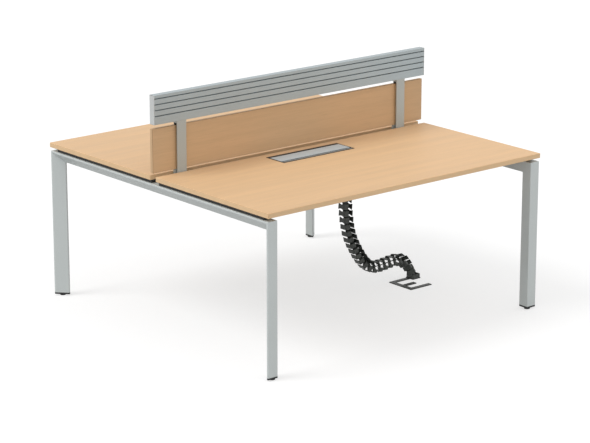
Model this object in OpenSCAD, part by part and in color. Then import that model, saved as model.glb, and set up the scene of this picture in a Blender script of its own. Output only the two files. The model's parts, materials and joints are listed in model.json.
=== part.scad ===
// Benching desk for two: two facing tops on a frame of triangular tube,
// a shared wood screen with a slatted tool rail, two cable boxes and a cable spine.
// X runs along the screen, -Y is the near user's side, Z is up, the origin is on the floor.

/* [Overall] */
// Width of the bench along the screen
desk_w = 1600; // [1300:10:2000]
// Depth over both tops
desk_d = 1600; // [1300:10:1800]
// Height of the work surface
desk_h = 740; // [680:5:780]
// Gap between the two tops
top_gap = 40; // [36:1:60]

/* [Tops] */
// Thickness of a top
top_t = 22; // [18:1:30]
// Thickness of the edge banding
edge_t = 2; // [1:0.5:3]
// Height of the spacers that carry a top
spacer_h = 16; // [10:1:24]
// Diameter of the spacers on the long beams
spacer_d = 30; // [20:1:40]
// Width of the spacer strips on the end beams
strip_w = 30; // [20:1:40]
// Distance of a strip's ends from the users' edge
strip_inset = 45; // [30:5:80]
// Distance of the strips' pegs and the top screws from the edges of a top
spacer_inset = 90; // [85:5:160]
// Diameter of the top screws
top_screw_d = 6; // [4:0.5:8]
// How far a top screw bites into the top
top_screw_bite = 15; // [10:1:17]

/* [End frames] */
// Leg of the triangular tube's right angle
tube_s = 53; // [46:1:60]
// Flat on the tube's acute corners
tube_flat = 8; // [6:0.5:12]
// Wall of the frame tube
tube_t = 2; // [1.5:0.5:3]
// Outer edge radius of the frame tube
tube_r = 2.5; // [2.1:0.1:3]
// Inset of the frame from the ends of the tops
frame_inset_x = 1; // [1:1:20]
// Inset of the frame from the users' edges
frame_inset_y = 5; // [3:1:30]

/* [Feet] */
// Visible height of the black end cap
cap_h = 8; // [5:1:12]
// Length of the plug inside the tube
cap_plug = 22; // [15:1:30]
// Wall of the plug
cap_wall = 2.5; // [2:0.5:3]
// Height of the glide under the cap
glide_h = 7; // [6:1:12]
// Diameter of the glide
glide_d = 28; // [22:1:34]
// Diameter of the glide's stud
stud_d = 8; // [6:1:10]
// Length of the stud above the glide
stud_l = 38; // [32:1:60]

/* [Beams] */
// Height of the long beams
beam_h = 50; // [40:1:60]
// Width of the long beams
beam_w = 30; // [25:1:40]
// Wall of the long beams
beam_t = 2; // [1.5:0.5:3]
// Distance of each long beam from the middle of the bench
beam_y = 320; // [260:5:380]
// Width of the plates on the long beams' ends
beam_plate_w = 90; // [80:1:110]
// Thickness of the end plates
plate_t = 4; // [3:0.5:6]
// Diameter of the beam bolts
bolt_d = 8; // [6:1:8]
// Width of the cross members
cross_w = 40; // [30:1:50]
// Height of the cross members
cross_h = 30; // [25:1:40]
// Width of the plates on the cross members' ends
cross_plate_w = 80; // [76:1:100]

/* [Screen] */
// Height of the panel
panel_h = 200; // [150:5:300]
// Thickness of the panel
panel_t = 18; // [16:1:20]
// Open height between the tops and the panel
panel_lift = 12; // [8:1:20]
// Distance of each upright from the end of the panel
post_inset = 150; // [100:10:300]
// Width of an upright
post_w = 50; // [40:1:60]
// Depth of an upright
post_d = 15; // [13:1:18]
// Depth of an upright's front flange
post_flange = 6; // [5:0.5:8]
// Width of the web behind the flange
post_web_w = 30; // [24:1:34]
// Open height between the panel and the rail
rail_lift = 20; // [16:1:40]
// Height of the rail bracket
bracket_h = 10; // [8:1:14]

/* [Tool rail] */
// Height of the rail
rail_h = 132; // [120:1:180]
// Height of the slat above the first groove
rail_first = 13; // [10:0.5:18]
// Distance from groove to groove
rail_pitch = 26; // [22:0.5:30]
// Number of grooves on each side
rail_grooves = 4; // [2:1:4]
// Height of a groove's mouth
groove_h = 5; // [4.5:0.5:7]
// Depth of a groove
groove_d = 11; // [8:0.5:12]
// Thickness of the lip in front of a groove's hook space
lip_t = 2.2; // [1.8:0.1:3]
// Height of the hook space above a groove's mouth
hook_h = 3.6; // [2:0.2:3.8]
// Thickness of the rail's end caps
rail_cap_t = 3; // [2:0.5:5]

/* [Cable boxes] */
// Thickness of a box's ends beyond its lid
box_end = 2.1; // [2:0.1:6]
// Depth of a cable box over its flange
box_w = 126; // [116:1:160]
// Distance of the flange from the inner edge of the top
box_back = 44; // [36:1:80]
// Thickness of the flange on the top
flange_t = 1.5; // [1:0.5:2.5]
// Overlap of the flange on the wood
flange_lap = 2; // [1.5:0.5:4]
// Wall of the box
box_wall = 3; // [2:0.5:4]
// Height of the box below the work surface
box_h = 38; // [30:1:60]
// Length of a lid
lid_l = 410; // [290:10:490]
// Depth of a lid from its hinge pin to its free edge
lid_w = 76.5; // [70:0.5:90]
// Thickness of a lid
lid_t = 4; // [3:0.5:5]
// Diameter of a lid's hinge barrel
barrel_d = 7; // [6.5:0.5:9]
// Diameter of the hinge pins
pin_d = 4; // [3:0.5:4.5]
// Width of the cable slot in front of a lid
slot_w = 12; // [8:1:16]
// Width of the bar in front of the cable slot
bar_w = 11; // [9:1:14]

/* [Cable tray] */
// Width of the tray
tray_w = 380; // [300:10:440]
// Height of the tray's walls
tray_h = 60; // [40:5:80]
// Thickness of the tray's sheet
tray_t = 2; // [1.5:0.5:3]
// Distance from the work surface down to the tray
tray_drop = 140; // [128:5:180]

/* [Cable spine] */
// Distance from the end of the bench to where the spine hangs
spine_inset = 557; // [520:1:650]
// Where the spine hangs, from the middle towards the near user
spine_y = 86; // [60:1:120]
// Distance from joint to joint of the links
link_pitch = 33; // [32.5:0.5:36]
// Width of a link
link_w = 54; // [50:1:56]
// Depth of a link
link_d = 41; // [36:1:44]
// Height of a link in the bend and the arch
link_h = 23; // [20:0.5:23]
// Height of a link in the hanging part
upper_h = 27; // [24:0.5:27.5]
// Height of those in the middle of their sides
upper_mid_h = 19; // [16:0.5:22]
// Wall of a link
link_wall = 3.5; // [3:0.5:4]
// Reach of the lips that half close a link's open sides
link_lip = 29; // [24:1:32]
// Reach of those lips in the arch
arch_lip = 17; // [12:1:22]
// Diameter of a link's ball
ball_d = 10; // [8:0.5:11]
// Diameter of the neck under the ball
neck_d = 4.5; // [4:0.5:4.5]
// Length of the floor plate
floor_l = 156; // [145:1:200]
// Width of the floor plate's bars
floor_bar = 22; // [16:1:26]
// Thickness of the floor plate
floor_t = 5; // [3:0.5:6]

/* [Hidden] */
$fn = 48;

wood = [0.88, 0.74, 0.57];
wood_edge = [0.80, 0.66, 0.50];
silver = [0.68, 0.72, 0.71];
light_silver = [0.78, 0.80, 0.79];
black = [0.17, 0.18, 0.17];
steel = [0.60, 0.61, 0.62];

// Cuts run past the solid by this much
over = 1;
// Clearance of a piece in its seat
clear = 0.3;
// Radial clearance of a pin or stud that turns or slides
run_clear = 0.05;
// Clearance of a screw in its hole
screw_clear = 0.25;

// Tops
under_z = desk_h - top_t;
frame_z = under_z - spacer_h;
top_d = (desk_d - top_gap) / 2;
spacer_hole_d = top_screw_d + 2 * screw_clear;
strip_gap = 6;
peg_d = 8;
peg_l = 6;
head_h = 3.5;

// Frame: the tube's inner face, its users' face and its lower end
frame_x = desk_w / 2 - frame_inset_x - tube_s;
frame_y = desk_d / 2 - frame_inset_y;
cap_z = glide_h;
tube_z = glide_h + cap_h;
stud_at = tube_s / 3;

// Beams
beam_l = 2 * frame_x;
bolt_edge = 2;
beam_bolt_at = beam_plate_w / 2 - bolt_d - bolt_edge;
bolt_grip = 8;
washer_d = 2 * bolt_d;
washer_t = 1.6;
bolt_head_h = 5.5;
small_bolt_d = 6;
cross_l = 2 * beam_y - beam_w;
cross_bolt_at = cross_plate_w / 2 - small_bolt_d - bolt_edge;
access_d = 2 * top_screw_d + 4 * screw_clear;

// Screen: the rail's depth is the upright's depth and the panel's thickness together
rail_d = post_d + panel_t;
post_x = desk_w / 2 - post_inset;
post_y = -rail_d / 2;
panel_y = post_y + post_d;
foot_t = 5;
foot_l = 96;
foot_screw_at = foot_l / 2 - bolt_d;
panel_z = desk_h + panel_lift;
rail_z = panel_z + panel_h + rail_lift;
bracket_z = rail_z - bracket_h;
post_z = frame_z + foot_t;
panel_edge_t = 1;
port_d = 4;
port_x = 8;
port_y = post_y + post_d / 2;
lock_y = rail_d / 2 - port_d;
m5 = 5;
m5_head = 9;

// Tool rail: one side's groove places, measured down from the top
rail_half = rail_d / 2;
rail_l = desk_w - 2 * rail_cap_t;
tongue_w = 6;
tongue_neck_h = 3;
tongue_head_w = 10;
tongue_h = 7;
chamber_t = 2.2;

// Cable box: places are distances from the middle of the bench
box_in = top_gap / 2 + box_back;
box_out = box_in + box_w;
open_x = lid_l / 2 + 2 * clear;
skirt_x = open_x + box_end;
flange_x = skirt_x + clear + flange_lap;
flange_seat = 1;
skirt_in = box_in + flange_lap + clear;
skirt_out = box_out - flange_lap - clear;
lid_top = desk_h + flange_t;
lid_free = box_out - flange_lap - clear - box_wall - bar_w - slot_w;
pin_at = lid_free - lid_w;
pin_z = lid_top - barrel_d / 2;
shelf_z = lid_top - lid_t - clear;
shelf_w = 3.5;
shelf_h = 8;
hinge_room = 1.5;
pin_l = 14;
box_screw_inset = 75;
box_screw_x = lid_l / 2 - box_screw_inset;

// Tray: it hangs from the cross members
tray_z = desk_h - tray_drop;
tray_l = 2 * (post_x - cross_w / 2);
tab_w = 200;

// Spine: the heading of each link from straight down, turning towards +X, under a tray at 600
usual_headings = [
    0, 1, 2, 3, 5, 8, 10,
    14, 20, 26, 30, 32, 36, 42, 53, 71,
    87, 95, 97, 95, 80, 62, 46, 38, 36
];
bend_links = 9;
arch_links = 9;
twisted_links = 5;
twist_step = 12;
link_chamfer = 5;
link_lean = 12;
rib_t = 4;
rib_step = 0.5;
web_bore = 15;
socket_d = 16;
socket_down = 7.5;
socket_lip = 2.5;
clip_t = 4;
clip_w = 72;
inlet_w = 46;
clip_drop = 27.5;
foot_w = 50;
foot_clip_t = 5;
foot_clip_h = 18;
foot_wall = 4;
foot_lean = 20;
clip_screw_d = 4;
clip_screw_at = 30;
foot_screw_in = 5;
foot_joint_z = 18;
spine_x = desk_w / 2 - spine_inset;

// A higher or lower tray adds straight links at the top or leaves some out
function fall(headings, n) = n == 0 ? 0 : fall(headings, n - 1) + link_pitch * cos(headings[n - 1]);
spine_room = tray_z - clip_t - clip_drop - foot_joint_z;
more_links = floor((spine_room - fall(usual_headings, len(usual_headings))) / link_pitch);
link_headings = more_links < 0
    ? [for (i = [-more_links : 1 : len(usual_headings) - 1]) usual_headings[i]]
    : concat([for (i = [0 : 1 : more_links - 1]) 0], usual_headings);
upper_links = len(link_headings) - bend_links - arch_links;
function down(n) = fall(link_headings, n);
function along(n) = n == 0 ? 0 : along(n - 1) + link_pitch * sin(link_headings[n - 1]);
function twist(i) = twist_step * max(0, i + 1 + twisted_links - len(link_headings));
spine_end_x = spine_x + along(len(link_headings));
spine_end_z = foot_joint_z;
spine_top_z = spine_end_z + down(len(link_headings));

// Floor plate: an E whose far prong carries the spine's foot
prong_far = 143;
prong_far_at = 15;
floor_far = spine_y - prong_far_at;
floor_x = spine_end_x - prong_far;
prong_near = 134;
prong_mid = 92;
prong_mid_at = 95;

// Direction helpers for an outline's corners
function unit(v) = v / norm(v);
function back_way(p, i) = unit(p[(i + len(p) - 1) % len(p)] - p[i]);
function on_way(p, i) = unit(p[(i + 1) % len(p)] - p[i]);
function half_turn(p, i) = acos(back_way(p, i) * on_way(p, i)) / 2;

// A convex outline with every corner rounded by true arcs
module rounded_outline(p, r) {
    polygon([for (i = [0 : len(p) - 1]) each [
        p[i] + back_way(p, i) * r / tan(half_turn(p, i)),
        p[i] + on_way(p, i) * r / tan(half_turn(p, i))
    ]]);
    for (i = [0 : len(p) - 1])
        translate(p[i] + unit(back_way(p, i) + on_way(p, i)) * r / sin(half_turn(p, i))) circle(r);
}

// A box from its lowest corner to its highest
module block(a, b) { translate(a) cube(b - a); }

// An outline drawn in Y and Z, drawn out along X
module along_x(x0, x1) { translate([x0, 0, 0]) rotate([90, 0, 90]) linear_extrude(x1 - x0) children(); }

// An outline drawn in X and Z, drawn out along Y
module along_y(y0, y1) { translate([0, y1, 0]) rotate([90, 0, 0]) linear_extrude(y1 - y0) children(); }

// A rod along Y from y0 to y1
module rod_y(y0, y1, d) { translate([0, y0, 0]) rotate([-90, 0, 0]) cylinder(h = y1 - y0, d = d); }

module left() { mirror([1, 0, 0]) children(); }
module far() { mirror([0, 1, 0]) children(); }

// Top board with its cable box cut-out, near side
module top_board() {
    color(wood) difference() {
        block([-desk_w / 2 + edge_t, -desk_d / 2 + edge_t, under_z],
            [desk_w / 2 - edge_t, -top_gap / 2 - edge_t, desk_h]);
        block([-skirt_x - clear, -skirt_out - clear, under_z - over],
              [skirt_x + clear, -skirt_in + clear, desk_h + over]);
        block([-flange_x - clear, -box_out - clear, desk_h - flange_seat],
              [flange_x + clear, -box_in + clear, desk_h + over]);
        for (x = top_screw_xs()) translate([x, -beam_y, under_z - over])
            cylinder(h = top_screw_bite + over, d = top_screw_d + 2 * screw_clear);
        for (x = [-box_screw_x, box_screw_x], y = [-skirt_out, -skirt_in]) box_screw_hole(x, y);
    }
}

function top_screw_xs() = [-desk_w / 2 + 2 * spacer_inset + cross_w, 0,
    desk_w / 2 - 2 * spacer_inset - cross_w];
function pad_ys() = [desk_d / 2 - spacer_inset, top_gap / 2 + spacer_inset];

module top_edging() {
    color(wood_edge) {
        for (y = [-desk_d / 2, -top_gap / 2 - edge_t])
            block([-desk_w / 2, y, under_z], [desk_w / 2, y + edge_t, desk_h]);
        for (x = [-desk_w / 2, desk_w / 2 - edge_t])
            block([x, -desk_d / 2 + edge_t, under_z], [x + edge_t, -top_gap / 2 - edge_t, desk_h]);
    }
}

// Black spacers: a strip with two pegs on each end beam, bored pads on the long beam
module top_spacers() {
    color(black) {
        for (x = [-frame_x - tube_s / 2, frame_x + tube_s / 2]) {
            block([x - strip_w / 2, -desk_d / 2 + strip_inset, frame_z],
                  [x + strip_w / 2, -top_gap / 2 - strip_gap, under_z]);
            for (y = pad_ys()) translate([x, -y, frame_z - peg_l]) cylinder(h = peg_l + over, d = peg_d);
        }
        for (x = top_screw_xs()) translate([x, -beam_y, frame_z]) difference() {
            cylinder(h = spacer_h, d = spacer_d);
            translate([0, 0, -over]) cylinder(h = spacer_h + 2 * over, d = spacer_hole_d);
        }
    }
}

module top_screws() {
    color(steel) for (x = top_screw_xs(), s = [-1, 1]) translate([x, s * beam_y, frame_z - beam_t]) {
        translate([0, 0, -head_h]) cylinder(h = head_h, d = 2 * top_screw_d);
        translate([0, 0, -head_h / 2])
            cylinder(h = head_h / 2 + beam_t + spacer_h + top_screw_bite - clear, d = top_screw_d);
    }
}

// The frame's triangular tube: u points outward, v into the frame
module tube_outline() {
    s = tube_s;
    f = tube_flat;
    rounded_outline([[0, 0], [s, 0], [s, f], [f, s], [0, s]], tube_r);
}

module tube_inside(gap) {
    s = tube_s;
    t = tube_t + gap;
    k = tube_flat + t - t * sqrt(2);
    rounded_outline([[t, t], [s - t, t], [s - t, k], [k, s - t], [t, s - t]],
        max(tube_r - tube_t, over / 4));
}

// Right near leg, mitred at its top
module leg() {
    color(silver) translate([frame_x, -frame_y, 0]) difference() {
        translate([0, 0, tube_z]) linear_extrude(frame_z - tube_z) tube_outline();
        translate([0, 0, tube_z - over]) linear_extrude(frame_z - tube_z + 2 * over) tube_inside(0);
        along_x(-over, tube_s + over) polygon([
            [-over, frame_z + over], [tube_s + over, frame_z - tube_s - over],
            [tube_s + over, frame_z + over]
        ]);
    }
}

// Right end beam, mitred at both ends
module end_beam() {
    color(silver) translate([frame_x, 0, 0]) difference() {
        translate([0, 0, frame_z]) along_y(-frame_y, frame_y) mirror([0, 1]) tube_outline();
        translate([0, 0, frame_z]) along_y(-frame_y - over, frame_y + over) mirror([0, 1]) tube_inside(0);
        for (m = [0, 1]) mirror([0, m, 0]) translate([0, -frame_y, 0]) along_x(-over, tube_s + over)
            polygon([
            [-over, frame_z + over], [tube_s + over, frame_z - tube_s - over],
            [-over, frame_z - tube_s - over]
        ]);
        for (y = pad_ys(), s = [-1, 1]) translate([tube_s / 2, s * y, frame_z - tube_t - over])
            cylinder(h = tube_t + 2 * over, d = peg_d + 2 * screw_clear);
        for (y = bolt_ys()) translate([-over, y, frame_z - beam_h / 2]) rotate([0, 90, 0])
            cylinder(h = tube_t + 2 * over, d = bolt_d + 2 * screw_clear);
    }
}

function bolt_ys() = [for (s = [-1, 1], e = [-1, 1]) s * beam_y + e * beam_bolt_at];

// End cap: a rim under the tube and a plug inside it, bored for the stud
module end_cap() {
    color(black) translate([frame_x, -frame_y, 0]) difference() {
        union() {
            translate([0, 0, cap_z]) linear_extrude(cap_h) tube_outline();
            translate([0, 0, tube_z - over]) linear_extrude(cap_plug + over) tube_inside(clear);
        }
        translate([0, 0, tube_z]) linear_extrude(cap_plug + over) difference() {
            tube_inside(clear + cap_wall);
            translate([stud_at, stud_at]) circle(stud_d / 2 + cap_wall);
        }
        translate([stud_at, stud_at, cap_z - over])
            cylinder(h = cap_h + cap_plug + 2 * over, d = stud_d + 2 * run_clear);
    }
}

module leg_end_caps() {
    end_cap();
    far() end_cap();
    left() end_cap();
    left() far() end_cap();
}

// Levelling glide: a round foot with a hexagon for the spanner and a long stud
module glide() {
    rim = glide_h * 0.4;
    color(black) translate([frame_x + stud_at, -frame_y + stud_at, 0]) {
        rotate_extrude() polygon([
            [0, 0], [glide_d / 2 - rim / 2, 0], [glide_d / 2, rim / 2], [glide_d / 2, rim],
            [glide_d / 3, glide_h * 0.6], [0, glide_h * 0.6]
        ]);
        translate([0, 0, glide_h / 2]) cylinder(h = glide_h / 2, d = 2 * stud_d, $fn = 6);
        translate([0, 0, glide_h / 2]) cylinder(h = glide_h / 2 + stud_l, d = stud_d);
    }
}

// Near long beam: a rectangular tube with a bolted plate on each end
module long_beam() {
    z0 = frame_z - beam_h;
    color(silver) translate([0, -beam_y, 0]) difference() {
        union() {
            block([-beam_l / 2 + over, -beam_w / 2, z0], [beam_l / 2 - over, beam_w / 2, frame_z]);
            for (s = [-1, 1]) along_x(s < 0 ? -beam_l / 2 : beam_l / 2 - plate_t,
                s < 0 ? -beam_l / 2 + plate_t : beam_l / 2)
                rounded_outline([
                    [-beam_plate_w / 2, z0], [beam_plate_w / 2, z0], [beam_plate_w / 2, frame_z],
                    [-beam_plate_w / 2, frame_z]
                ], bolt_d);
        }
        block([-beam_l / 2 + plate_t, -beam_w / 2 + beam_t, z0 + beam_t],
            [beam_l / 2 - plate_t, beam_w / 2 - beam_t, frame_z - beam_t]);
        for (s = [-1, 1], e = [-1, 1])
            translate([s * beam_l / 2, e * beam_bolt_at, z0 + beam_h / 2]) rotate([0, 90, 0])
            cylinder(h = 4 * plate_t, d = bolt_d + 2 * screw_clear, center = true);
        for (x = top_screw_xs()) {
            translate([x, 0, frame_z - beam_t - over]) cylinder(h = beam_t + 2 * over, d = spacer_hole_d);
            translate([x, 0, z0 - over]) cylinder(h = beam_t + 2 * over, d = access_d);
        }
        for (x = cross_bolt_xs()) translate([x, beam_w / 2 - beam_t - over, frame_z - cross_h / 2])
            rod_y(0, beam_t + 2 * over, small_bolt_d + 2 * screw_clear);
    }
}

function cross_bolt_xs() = [for (s = [-1, 1], e = [-1, 1]) s * post_x + e * cross_bolt_at];

module hex_bolt(d, grip) {
    cylinder(h = washer_t, d = 2 * d);
    translate([0, 0, washer_t]) cylinder(h = bolt_head_h * d / bolt_d, d = 1.8 * d, $fn = 6);
    translate([0, 0, -grip]) cylinder(h = grip + washer_t, d = d);
}

module long_beam_bolts() {
    color(steel) for (s = [-1, 1], y = bolt_ys())
        translate([s * (frame_x - plate_t), y, frame_z - beam_h / 2])
        rotate([0, -s * 90, 0]) hex_bolt(bolt_d, plate_t + tube_t + bolt_grip);
}

// Right cross member between the long beams: it carries an upright and the tray's end
module cross_member() {
    z0 = frame_z - cross_h;
    color(silver) translate([post_x, 0, 0]) difference() {
        union() {
            block([-cross_w / 2, -cross_l / 2 + over, z0], [cross_w / 2, cross_l / 2 - over, frame_z]);
            for (s = [-1, 1]) along_y(s < 0 ? -cross_l / 2 : cross_l / 2 - plate_t,
                s < 0 ? -cross_l / 2 + plate_t : cross_l / 2)
                rounded_outline([
                    [-cross_plate_w / 2, z0], [cross_plate_w / 2, z0], [cross_plate_w / 2, frame_z],
                    [-cross_plate_w / 2, frame_z]
                ], small_bolt_d);
        }
        block([-cross_w / 2 + beam_t, -cross_l / 2 + plate_t, z0 + beam_t],
            [cross_w / 2 - beam_t, cross_l / 2 - plate_t, frame_z - beam_t]);
        for (e = [-1, 1]) {
            translate([e * cross_bolt_at, -cross_l / 2 - over, z0 + cross_h / 2])
                rod_y(0, cross_l + 2 * over, small_bolt_d + 2 * screw_clear);
            translate([0, e * foot_screw_at, frame_z - beam_t - over])
                cylinder(h = beam_t + 2 * over, d = bolt_d + 2 * screw_clear);
        }
        for (y = tray_screw_ys()) translate([-cross_w / 2 - over, y, z0 + cross_h / 2]) rotate([0, 90, 0])
            cylinder(h = beam_t + 2 * over, d = m5 + 2 * screw_clear);
    }
}

function tray_screw_ys() = [-tab_w / 3, tab_w / 3];

module cross_member_bolts() {
    color(steel) for (x = cross_bolt_xs(), s = [-1, 1])
        translate([x, s * (cross_l / 2 - plate_t), frame_z - cross_h / 2])
        rotate([s * 90, 0, 0]) hex_bolt(small_bolt_d, plate_t + beam_t + bolt_grip);
}

// Cable tray: an open channel of sheet with an end plate on each cross member and an inlet over the spine
module cable_tray() {
    x1 = tray_l / 2;
    y1 = tray_w / 2;
    color(silver) difference() {
        union() {
            block([-x1, -y1, tray_z], [x1, y1, tray_z + tray_t]);
            for (s = [-1, 1]) {
                block([-x1, s < 0 ? -y1 : y1 - tray_t, tray_z],
                    [x1, s < 0 ? -y1 + tray_t : y1, tray_z + tray_h]);
                block([s < 0 ? -x1 : x1 - tray_t, -tab_w / 2, tray_z],
                    [s < 0 ? -x1 + tray_t : x1, tab_w / 2, frame_z - cross_h / 5]);
            }
        }
        translate([spine_x, -spine_y, 0])
            block([-inlet_w / 2, -inlet_w / 2, tray_z - over],
                [inlet_w / 2, inlet_w / 2, tray_z + tray_t + over]);
        for (s = [-1, 1], y = tray_screw_ys()) translate([s * x1, y, frame_z - cross_h / 2])
            rotate([0, 90, 0])
            cylinder(h = 4 * tray_t, d = m5 + 2 * screw_clear, center = true);
        for (a = clip_screw_places()) translate([a[0], a[1], tray_z - over])
            cylinder(h = tray_t + 2 * over, d = clip_screw_d + 2 * screw_clear);
    }
}

function clip_screw_places() = [for (i = [-1, 1], j = [-1, 1]) [spine_x + i * clip_screw_at,
    -spine_y + j * clip_screw_at]];

module pan_screw(d, head, l) {
    cylinder(h = head_h, d = head);
    translate([0, 0, -l]) cylinder(h = l + head_h / 2, d = d);
}

module tray_screws() {
    color(steel) for (s = [-1, 1], y = tray_screw_ys())
        translate([s * (tray_l / 2 - tray_t), y, frame_z - cross_h / 2])
        rotate([0, -s * 90, 0]) pan_screw(m5, m5_head, tray_t + beam_t + bolt_grip);
}

// Right upright: a T section with two screw ports, its flange to the near user
module upright() {
    y1 = post_y + post_flange;
    color(silver) translate([post_x, 0, 0]) difference() {
        translate([0, 0, post_z]) linear_extrude(bracket_z - post_z) difference() {
            union() {
                rounded_outline([[-post_w / 2, post_y], [post_w / 2, post_y], [post_w / 2, y1],
                    [-post_w / 2, y1]], over);
                translate([-post_web_w / 2, post_y + over]) square([post_web_w, post_d - over]);
            }
            for (s = [-1, 1]) translate([s * port_x, port_y]) circle(d = port_d);
        }
        for (z = concat(panel_screw_zs(), foot_screw_zs())) translate([0, y1, z])
            rod_y(0, post_d, m5 + 2 * screw_clear);
    }
}

function panel_screw_zs() = [panel_z + panel_h / 5, panel_z + panel_h * 4 / 5];
function foot_screw_zs() = [post_z + foot_t * 2, post_z + foot_t * 6];

// Foot of an upright: a plate on the cross member and a block that carries the panel
module upright_foot() {
    color(silver) translate([post_x, 0, 0]) difference() {
        union() {
            block([-post_w / 2, -foot_l / 2, frame_z], [post_w / 2, foot_l / 2, post_z]);
            block([-post_w / 2, panel_y, frame_z], [post_w / 2, panel_y + panel_t, panel_z]);
        }
        for (e = [-1, 1]) translate([0, e * foot_screw_at, frame_z - over])
            cylinder(h = foot_t + 2 * over, d = bolt_d + 2 * screw_clear);
        for (z = foot_screw_zs()) translate([0, panel_y - over, z])
            rod_y(0, panel_t + 2 * over, m5 + 2 * screw_clear);
    }
}

module upright_screws() {
    color(steel) for (s = [-1, 1]) translate([s * post_x, 0, 0]) {
        for (e = [-1, 1]) translate([0, e * foot_screw_at, post_z])
            pan_screw(bolt_d, 2 * bolt_d, foot_t + beam_t + bolt_grip);
        for (z = foot_screw_zs()) translate([0, panel_y + panel_t, z]) rotate([-90, 0, 0])
            pan_screw(m5, m5_head, panel_t + post_web_w / 5);
    }
}

module screen_panel() {
    e = panel_edge_t;
    color(wood) difference() {
        block([-desk_w / 2 + e, panel_y, panel_z + e],
            [desk_w / 2 - e, panel_y + panel_t, panel_z + panel_h - e]);
        for (s = [-1, 1], z = panel_screw_zs()) translate([s * post_x, panel_y - over, z]) {
            rod_y(0, panel_t + 2 * over, m5 + 2 * screw_clear);
            rod_y(over + panel_t - head_h, panel_t + 2 * over, m5_head + 2 * screw_clear);
        }
    }
}

module screen_panel_edging() {
    e = panel_edge_t;
    color(wood_edge) {
        for (z = [panel_z, panel_z + panel_h - e])
            block([-desk_w / 2, panel_y, z], [desk_w / 2, panel_y + panel_t, z + e]);
        for (x = [-desk_w / 2, desk_w / 2 - e])
            block([x, panel_y, panel_z + e], [x + e, panel_y + panel_t, panel_z + panel_h - e]);
    }
}

module panel_screws() {
    color(steel) for (s = [-1, 1], z = panel_screw_zs())
        translate([s * post_x, panel_y + panel_t - head_h, z])
        rotate([-90, 0, 0]) pan_screw(m5, m5_head, panel_t - head_h + post_web_w / 5);
}

// Black buffer between the panel's top edge and the rail bracket, behind the upright
module panel_buffer() {
    color(black) translate([post_x, 0, 0])
        block([-post_w / 2, panel_y, panel_z + panel_h], [post_w / 2, panel_y + panel_t * 0.6, bracket_z]);
}

// Rail bracket: a block on the upright with a T-shaped tongue up into the rail's slot
module rail_bracket() {
    color(silver) translate([post_x, 0, 0]) difference() {
        union() {
            block([-post_w / 2, -rail_half, bracket_z], [post_w / 2, rail_half, rail_z]);
            block([-post_w / 2, -tongue_w / 2 + clear, rail_z - over],
                [post_w / 2, tongue_w / 2 - clear, rail_z + tongue_h - clear]);
            block([-post_w / 2, -tongue_head_w / 2 + clear, rail_z + tongue_neck_h + clear],
                  [post_w / 2, tongue_head_w / 2 - clear, rail_z + tongue_h - clear]);
        }
        for (s = [-1, 1]) {
            translate([s * port_x, port_y, bracket_z - over])
                cylinder(h = bracket_h + 2 * over, d = port_d);
            translate([s * port_x, port_y, rail_z - head_h]) cylinder(h = head_h + over, d = 2 * port_d);
        }
        translate([0, lock_y, bracket_z - over]) cylinder(h = bracket_h + 2 * over, d = port_d);
    }
}

// Two screws down into each upright and a headless one that locks the far rail, at each bracket
module bracket_screws() {
    k = port_d - 2 * screw_clear;
    color(steel) for (m = [0, 1]) mirror([m, 0, 0]) {
        for (s = [-1, 1]) translate([post_x + s * port_x, port_y, rail_z - head_h]) {
            cylinder(h = head_h - clear, d = 2 * k);
            translate([0, 0, -bracket_h - 2 * head_h]) cylinder(h = bracket_h + 2 * head_h + over, d = k);
        }
        translate([post_x, lock_y, bracket_z]) cylinder(h = bracket_h + tongue_h - over, d = k);
    }
}

// One side's extrusion of the tool rail, grooved towards its user
module rail_outline() {
    y0 = -rail_half;
    difference() {
        rounded_outline([[y0, 0], [0, 0], [0, rail_h], [y0, rail_h]], over / 2);
        translate([-tongue_w / 2, -over]) square([tongue_w, tongue_h + over]);
        translate([-tongue_head_w / 2, tongue_neck_h]) square([tongue_head_w, tongue_h - tongue_neck_h]);
        for (i = [0 : rail_grooves - 1]) {
            z = rail_h - rail_first - groove_h - i * rail_pitch;
            translate([y0 - over, z]) square([groove_d + over, groove_h]);
            translate([y0 + lip_t, z]) square([groove_d - lip_t, groove_h + hook_h]);
            translate([y0 + chamber_t, z + groove_h + hook_h + chamber_t])
                square([rail_half - 2 * chamber_t,
                    (i == 0 ? rail_first : rail_pitch - groove_h) - hook_h - 2 * chamber_t]);
        }
        translate([y0 + chamber_t, tongue_h + chamber_t])
            square([rail_half - 2 * chamber_t,
                rail_h - rail_first - groove_h - (rail_grooves - 1) * rail_pitch - tongue_h -
                2 * chamber_t]);
    }
}

module near_rail() {
    color(silver) translate([0, 0, rail_z]) along_x(-rail_l / 2, rail_l / 2) rail_outline();
}

module far_rail() {
    color(silver) difference() {
        far() near_rail();
        for (s = [-1, 1]) translate([s * post_x, lock_y, rail_z - over])
            cylinder(h = tongue_h + over, d = port_d);
    }
}

// Right end cap: a plate over both extrusions with two pegs in their lower chambers
module rail_end_cap() {
    low = rail_h - rail_first - groove_h - (rail_grooves - 1) * rail_pitch;
    color(light_silver) {
        along_x(rail_l / 2, desk_w / 2) rounded_outline([
            [-rail_half, rail_z], [rail_half, rail_z], [rail_half, rail_z + rail_h],
            [-rail_half, rail_z + rail_h]
        ], over);
        for (m = [0, 1]) mirror([0, m, 0])
            block([rail_l / 2 - 4 * rail_cap_t, -rail_half + chamber_t + clear,
                rail_z + tongue_h + chamber_t + clear],
                  [rail_l / 2 + over, -chamber_t - clear, rail_z + low - chamber_t - clear]);
    }
}

module box_screw_hole(x, y) {
    translate([x, y, desk_h - top_t * 0.7]) rotate([90, 0, 0])
        cylinder(h = 8 * box_wall, d = clip_screw_d + 2 * screw_clear, center = true);
}

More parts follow.
